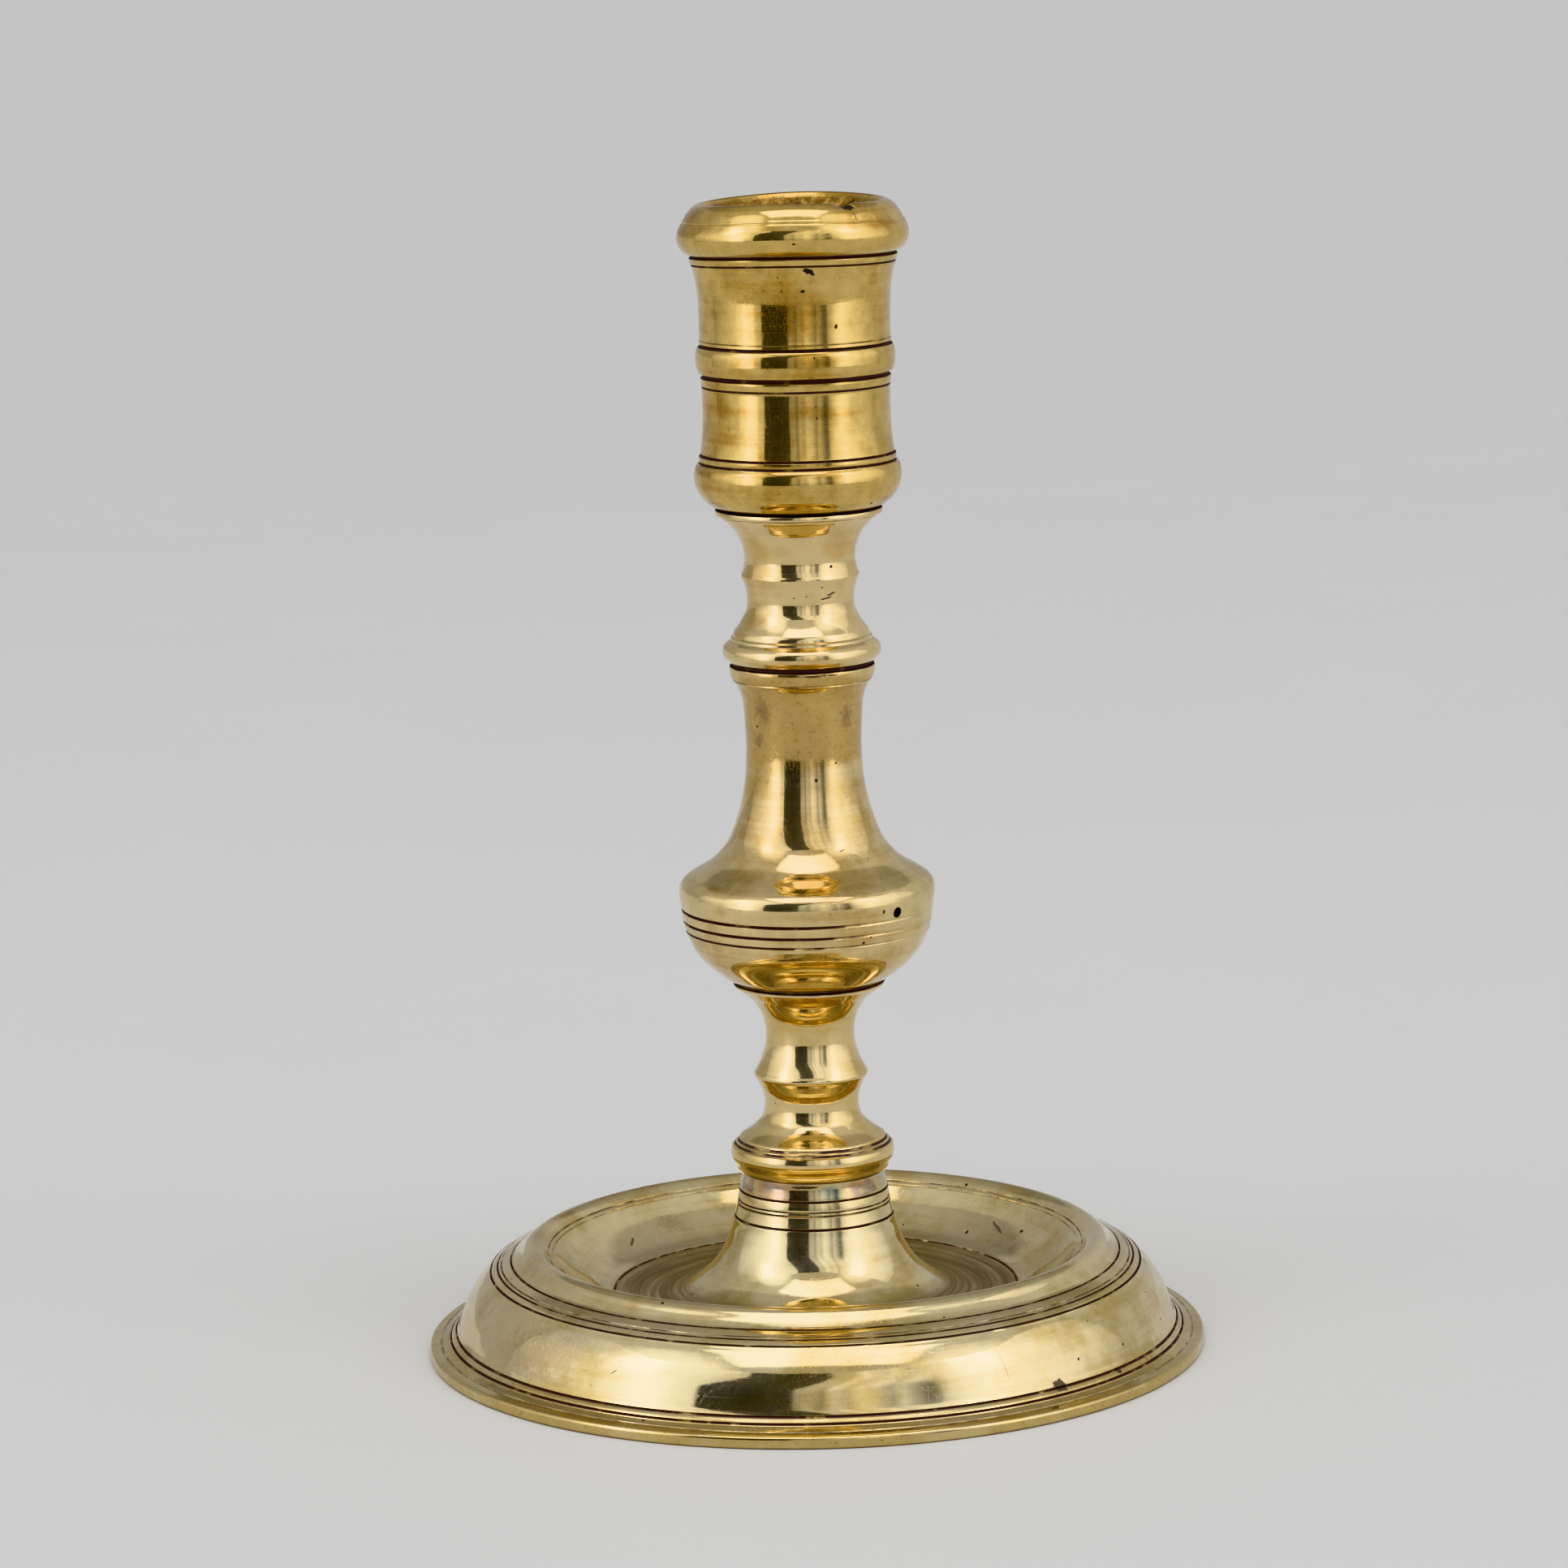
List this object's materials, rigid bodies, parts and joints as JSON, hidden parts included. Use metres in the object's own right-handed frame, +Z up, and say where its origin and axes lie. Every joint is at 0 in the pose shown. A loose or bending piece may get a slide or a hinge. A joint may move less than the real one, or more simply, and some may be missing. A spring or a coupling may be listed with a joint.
{
  "type": "candlestick",
  "caption": "Turned brass candlestick with a round stepped foot, a drip well, a baluster stem and a cylindrical candle socket.",
  "frame": {"origin": "on the bench, at the centre of the foot", "axes": "+Z up along the turned axis; the open core-pin hole in the baluster looks towards +X and -Y"},
  "size_m": [0.1192, 0.1192, 0.176],
  "materials": {
    "foot_brass": "hand-polished pale brass, worn, dark wax in the turned lines",
    "stem_brass": "hand-polished brass, worn, dark wax in the turned lines",
    "socket_brass": "hand-polished brass with a warm speckled tarnish",
    "plug_brass": "filed brass, slightly darker than its wall",
    "iron": "dark wrought iron with light rust"
  },
  "bodies": {
    "root": {"foot": "foot_brass", "lower_stem": "stem_brass", "baluster": "stem_brass", "core_plug": "plug_brass", "upper_stem": "stem_brass", "socket": "socket_brass", "tie_rod": "iron", "rod_washer": "iron", "rod_nut": "iron"}
  },
  "joints": []
}
